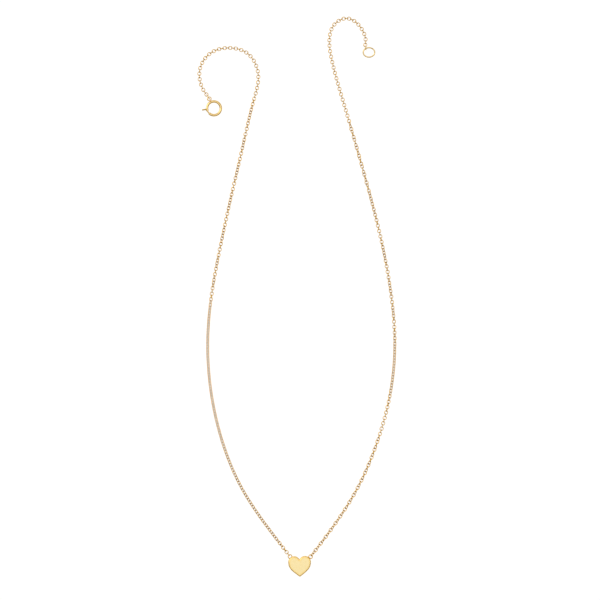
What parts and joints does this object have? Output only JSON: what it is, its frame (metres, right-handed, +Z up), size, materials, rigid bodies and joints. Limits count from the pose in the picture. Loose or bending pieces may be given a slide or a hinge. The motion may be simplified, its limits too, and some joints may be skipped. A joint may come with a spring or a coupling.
{
  "type": "pendant necklace",
  "caption": "Fine cable-chain necklace with a small solid heart between two soldered loops, a spring ring clasp on a jump ring and an oval end ring, laid out flat.",
  "frame": {"origin": "on the surface the necklace lies on, under the middle of its outline", "axes": "+Z up off the surface, +Y from the heart towards the clasp and end ring, +X to the right as the heart is read"},
  "size_m": [0.0628, 0.1763, 0.0019],
  "materials": {
    "heart_gold": "polished, faintly brushed",
    "chain_gold": "polished",
    "clasp_gold": "polished",
    "trigger_gold": "satin",
    "ring_gold": "polished",
    "spring_steel": "bright"
  },
  "bodies": {
    "pendant": {"heart_pendant": "heart_gold", "heart_loop_left": "chain_gold", "heart_loop_right": "chain_gold"},
    "left_chain_01": {"left_chain_01": "chain_gold"},
    "left_chain_02": {"left_chain_02": "chain_gold"},
    "left_chain_03": {"left_chain_03": "chain_gold"},
    "left_chain_04": {"left_chain_04": "chain_gold"},
    "left_chain_05": {"left_chain_05": "chain_gold"},
    "left_chain_06": {"left_chain_06": "chain_gold"},
    "left_chain_07": {"left_chain_07": "chain_gold"},
    "left_chain_08": {"left_chain_08": "chain_gold"},
    "left_chain_09": {"left_chain_09": "chain_gold"},
    "left_chain_10": {"left_chain_10": "chain_gold"},
    "left_chain_11": {"left_chain_11": "chain_gold"},
    "left_chain_12": {"left_chain_12": "chain_gold"},
    "left_chain_13": {"left_chain_13": "chain_gold"},
    "left_chain_14": {"left_chain_14": "chain_gold"},
    "left_chain_15": {"left_chain_15": "chain_gold"},
    "left_chain_16": {"left_chain_16": "chain_gold"},
    "left_chain_17": {"left_chain_17": "chain_gold"},
    "left_chain_18": {"left_chain_18": "chain_gold"},
    "left_chain_19": {"left_chain_19": "chain_gold"},
    "left_chain_20": {"left_chain_20": "chain_gold"},
    "right_chain_01": {"right_chain_01": "chain_gold"},
    "right_chain_02": {"right_chain_02": "chain_gold"},
    "right_chain_03": {"right_chain_03": "chain_gold"},
    "right_chain_04": {"right_chain_04": "chain_gold"},
    "right_chain_05": {"right_chain_05": "chain_gold"},
    "right_chain_06": {"right_chain_06": "chain_gold"},
    "right_chain_07": {"right_chain_07": "chain_gold"},
    "right_chain_08": {"right_chain_08": "chain_gold"},
    "right_chain_09": {"right_chain_09": "chain_gold"},
    "right_chain_10": {"right_chain_10": "chain_gold"},
    "right_chain_11": {"right_chain_11": "chain_gold"},
    "right_chain_12": {"right_chain_12": "chain_gold"},
    "right_chain_13": {"right_chain_13": "chain_gold"},
    "right_chain_14": {"right_chain_14": "chain_gold"},
    "right_chain_15": {"right_chain_15": "chain_gold"},
    "right_chain_16": {"right_chain_16": "chain_gold"},
    "right_chain_17": {"right_chain_17": "chain_gold"},
    "right_chain_18": {"right_chain_18": "chain_gold"},
    "right_chain_19": {"right_chain_19": "chain_gold"},
    "right_chain_20": {"right_chain_20": "chain_gold"},
    "jump_ring": {"clasp_jump_ring": "ring_gold"},
    "clasp": {"clasp_casing": "clasp_gold", "clasp_eye": "clasp_gold", "clasp_spring": "spring_steel"},
    "bolt": {"clasp_bolt": "clasp_gold", "clasp_trigger": "trigger_gold"},
    "connector": {"end_connector": "ring_gold"},
    "end_ring": {"end_ring": "ring_gold"}
  },
  "joints": [
    {"name": "left_chain_01_hinge", "type": "hinge", "parent": "pendant", "child": "left_chain_01", "pos_m": [-0.00255, -0.08132, 0.00062], "axis": [-0.7918, -0.6108, 0], "range_deg": [-35, 35]},
    {"name": "left_chain_02_hinge", "type": "hinge", "parent": "left_chain_01", "child": "left_chain_02", "pos_m": [-0.00846, -0.07361, 0.00058], "axis": [0.562, 0.4291, 0.7071], "range_deg": [-35, 35]},
    {"name": "left_chain_03_hinge", "type": "hinge", "parent": "left_chain_02", "child": "left_chain_03", "pos_m": [-0.01411, -0.06569, 0.00052], "axis": [0.591, 0.3882, -0.7071], "range_deg": [-35, 35]},
    {"name": "left_chain_04_hinge", "type": "hinge", "parent": "left_chain_03", "child": "left_chain_04", "pos_m": [-0.01894, -0.05724, 0.00049], "axis": [0.6333, 0.3144, 0.7071], "range_deg": [-35, 35]},
    {"name": "left_chain_05_hinge", "type": "hinge", "parent": "left_chain_04", "child": "left_chain_05", "pos_m": [-0.02263, -0.04824, 0.0005], "axis": [-0.6667, -0.2356, 0.7071], "range_deg": [-35, 35]},
    {"name": "left_chain_06_hinge", "type": "hinge", "parent": "left_chain_05", "child": "left_chain_06", "pos_m": [-0.02534, -0.0389, 0.0005], "axis": [-0.6869, -0.1678, -0.7071], "range_deg": [-35, 35]},
    {"name": "left_chain_07_hinge", "type": "hinge", "parent": "left_chain_06", "child": "left_chain_07", "pos_m": [-0.02714, -0.02934, 0.0005], "axis": [0.6996, 0.1025, -0.7071], "range_deg": [-35, 35]},
    {"name": "left_chain_08_hinge", "type": "hinge", "parent": "left_chain_07", "child": "left_chain_08", "pos_m": [-0.02802, -0.01965, 0.00053], "axis": [-0.7064, -0.0311, -0.7071], "range_deg": [-35, 35]},
    {"name": "left_chain_09_hinge", "type": "hinge", "parent": "left_chain_08", "child": "left_chain_09", "pos_m": [-0.02794, -0.00992, 0.00058], "axis": [-0.7064, 0.0323, 0.7071], "range_deg": [-35, 35]},
    {"name": "left_chain_10_hinge", "type": "hinge", "parent": "left_chain_09", "child": "left_chain_10", "pos_m": [-0.02699, -0.00023, 0.00062], "axis": [0.9422, -0.1255, 0.3107], "range_deg": [-35, 35]},
    {"name": "left_chain_11_hinge", "type": "hinge", "parent": "left_chain_10", "child": "left_chain_11", "pos_m": [-0.0254, 0.00937, 0.00063], "axis": [0.9402, -0.1758, -0.2918], "range_deg": [-35, 35]},
    {"name": "left_chain_12_hinge", "type": "hinge", "parent": "left_chain_11", "child": "left_chain_12", "pos_m": [-0.02348, 0.01891, 0.00062], "axis": [-0.7871, 0.1646, 0.5945], "range_deg": [-35, 35]},
    {"name": "left_chain_13_hinge", "type": "hinge", "parent": "left_chain_12", "child": "left_chain_13", "pos_m": [-0.02142, 0.02842, 0.00062], "axis": [-0.8369, 0.1861, 0.5147], "range_deg": [-35, 35]},
    {"name": "left_chain_14_hinge", "type": "hinge", "parent": "left_chain_13", "child": "left_chain_14", "pos_m": [-0.01923, 0.03791, 0.00063], "axis": [0.8983, -0.2108, -0.3856], "range_deg": [-35, 35]},
    {"name": "left_chain_15_hinge", "type": "hinge", "parent": "left_chain_14", "child": "left_chain_15", "pos_m": [-0.01704, 0.04739, 0.00062], "axis": [0.8535, -0.1921, -0.4844], "range_deg": [-35, 35]},
    {"name": "left_chain_16_hinge", "type": "hinge", "parent": "left_chain_15", "child": "left_chain_16", "pos_m": [-0.01489, 0.05688, 0.00062], "axis": [-0.7727, 0.1844, 0.6074], "range_deg": [-35, 35]},
    {"name": "left_chain_17_hinge", "type": "hinge", "parent": "left_chain_16", "child": "left_chain_17", "pos_m": [-0.01243, 0.0663, 0.00063], "axis": [-0.9764, 0.2161, 0], "range_deg": [-35, 35]},
    {"name": "left_chain_18_hinge", "type": "hinge", "parent": "left_chain_17", "child": "left_chain_18", "pos_m": [-0.01441, 0.0755, 0.00062], "axis": [0, 0, -1], "range_deg": [-22, 35]},
    {"name": "left_chain_19_hinge", "type": "hinge", "parent": "left_chain_18", "child": "left_chain_19", "pos_m": [-0.02335, 0.0782, 0.00063], "axis": [0.104, -0.9946, 0], "range_deg": [-35, 35]},
    {"name": "left_chain_20_hinge", "type": "hinge", "parent": "left_chain_19", "child": "left_chain_20", "pos_m": [-0.03041, 0.07226, 0.00063], "axis": [0, 0, 1], "range_deg": [-35, 35]},
    {"name": "right_chain_01_hinge", "type": "hinge", "parent": "pendant", "child": "right_chain_01", "pos_m": [0.00465, -0.08136, 0.00062], "axis": [0.7897, -0.6135, 0], "range_deg": [-35, 35]},
    {"name": "right_chain_02_hinge", "type": "hinge", "parent": "right_chain_01", "child": "right_chain_02", "pos_m": [0.01044, -0.07368, 0.00063], "axis": [-0.3438, 0.251, -0.9049], "range_deg": [-35, 35]},
    {"name": "right_chain_03_hinge", "type": "hinge", "parent": "right_chain_02", "child": "right_chain_03", "pos_m": [0.01587, -0.06572, 0.00063], "axis": [-0.5405, 0.3434, 0.7681], "range_deg": [-35, 35]},
    {"name": "right_chain_04_hinge", "type": "hinge", "parent": "right_chain_03", "child": "right_chain_04", "pos_m": [0.02055, -0.05731, 0.00063], "axis": [0.8674, -0.4268, 0.2559], "range_deg": [-35, 35]},
    {"name": "right_chain_05_hinge", "type": "hinge", "parent": "right_chain_04", "child": "right_chain_05", "pos_m": [0.02431, -0.04844, 0.00063], "axis": [0.1651, -0.0623, 0.9843], "range_deg": [-35, 35]},
    {"name": "right_chain_06_hinge", "type": "hinge", "parent": "right_chain_05", "child": "right_chain_06", "pos_m": [0.02731, -0.03929, 0.00063], "axis": [-0.9608, 0.2771, 0], "range_deg": [-35, 35]},
    {"name": "right_chain_07_hinge", "type": "hinge", "parent": "right_chain_06", "child": "right_chain_07", "pos_m": [0.02947, -0.0299, 0.00063], "axis": [0.5655, -0.104, -0.8182], "range_deg": [-35, 35]},
    {"name": "right_chain_08_hinge", "type": "hinge", "parent": "right_chain_07", "child": "right_chain_08", "pos_m": [0.03063, -0.02034, 0.00063], "axis": [-0.7053, 0.0508, -0.7071], "range_deg": [-35, 35]},
    {"name": "right_chain_09_hinge", "type": "hinge", "parent": "right_chain_08", "child": "right_chain_09", "pos_m": [0.03072, -0.01071, 0.00063], "axis": [-0.9581, -0.0371, 0.2839], "range_deg": [-35, 35]},
    {"name": "right_chain_10_hinge", "type": "hinge", "parent": "right_chain_09", "child": "right_chain_10", "pos_m": [0.02988, -0.00112, 0.00063], "axis": [0.9907, 0.1189, -0.0667], "range_deg": [-35, 35]},
    {"name": "right_chain_11_hinge", "type": "hinge", "parent": "right_chain_10", "child": "right_chain_11", "pos_m": [0.02844, 0.00841, 0.00063], "axis": [-0.9841, -0.172, -0.0441], "range_deg": [-35, 35]},
    {"name": "right_chain_12_hinge", "type": "hinge", "parent": "right_chain_11", "child": "right_chain_12", "pos_m": [0.02653, 0.01785, 0.00063], "axis": [0.9421, 0.2089, -0.2625], "range_deg": [-35, 35]},
    {"name": "right_chain_13_hinge", "type": "hinge", "parent": "right_chain_12", "child": "right_chain_13", "pos_m": [0.02426, 0.02721, 0.00063], "axis": [-0.4008, -0.1028, 0.9104], "range_deg": [-35, 35]},
    {"name": "right_chain_14_hinge", "type": "hinge", "parent": "right_chain_13", "child": "right_chain_14", "pos_m": [0.02176, 0.03651, 0.00063], "axis": [0.9632, 0.2668, -0.0331], "range_deg": [-35, 35]},
    {"name": "right_chain_15_hinge", "type": "hinge", "parent": "right_chain_14", "child": "right_chain_15", "pos_m": [0.01913, 0.04578, 0.00063], "axis": [0.5368, 0.1537, -0.8296], "range_deg": [-35, 35]},
    {"name": "right_chain_16_hinge", "type": "hinge", "parent": "right_chain_15", "child": "right_chain_16", "pos_m": [0.01646, 0.05504, 0.00063], "axis": [0.3317, 0.0966, 0.9384], "range_deg": [-35, 35]},
    {"name": "right_chain_17_hinge", "type": "hinge", "parent": "right_chain_16", "child": "right_chain_17", "pos_m": [0.01372, 0.06428, 0.00063], "axis": [-0.9581, -0.2864, 0], "range_deg": [-35, 35]},
    {"name": "right_chain_18_hinge", "type": "hinge", "parent": "right_chain_17", "child": "right_chain_18", "pos_m": [0.01119, 0.07357, 0.00063], "axis": [0, 0, -1], "range_deg": [-35, 35]},
    {"name": "right_chain_19_hinge", "type": "hinge", "parent": "right_chain_18", "child": "right_chain_19", "pos_m": [0.01049, 0.0831, 0.00063], "axis": [-0.9837, 0.1798, 0], "range_deg": [-35, 35]},
    {"name": "right_chain_20_hinge", "type": "hinge", "parent": "right_chain_19", "child": "right_chain_20", "pos_m": [0.01779, 0.087, 0.00063], "axis": [0, 0, 1], "range_deg": [-35, 35]},
    {"name": "jump_ring_hinge", "type": "hinge", "parent": "left_chain_20", "child": "jump_ring", "pos_m": [-0.02811, 0.06322, 0.00063], "axis": [0.7672, 0.6414, 0], "range_deg": [-34, 35]},
    {"name": "clasp_swivel", "type": "hinge", "parent": "jump_ring", "child": "clasp", "pos_m": [-0.02761, 0.06232, 0.0005], "axis": [0, 0, -1], "range_deg": [-35, 35]},
    {"name": "trigger_pull", "type": "hinge", "parent": "clasp", "child": "bolt", "pos_m": [-0.02614, 0.05932, 0.00043], "axis": [0, 0, -1], "range_deg": [0, 34], "stiffness_Nm_per_rad": 0.0015, "springref_deg": -20.05, "deforming": ["clasp_spring"]},
    {"name": "connector_hinge", "type": "hinge", "parent": "right_chain_20", "child": "connector", "pos_m": [0.02136, 0.07871, 0.00063], "axis": [0.9689, -0.2475, 0], "range_deg": [-35, 35]},
    {"name": "end_ring_swivel", "type": "hinge", "parent": "connector", "child": "end_ring", "pos_m": [0.02177, 0.07767, 0.00072], "axis": [0, 0, -1], "range_deg": [-20, 35]}
  ]
}
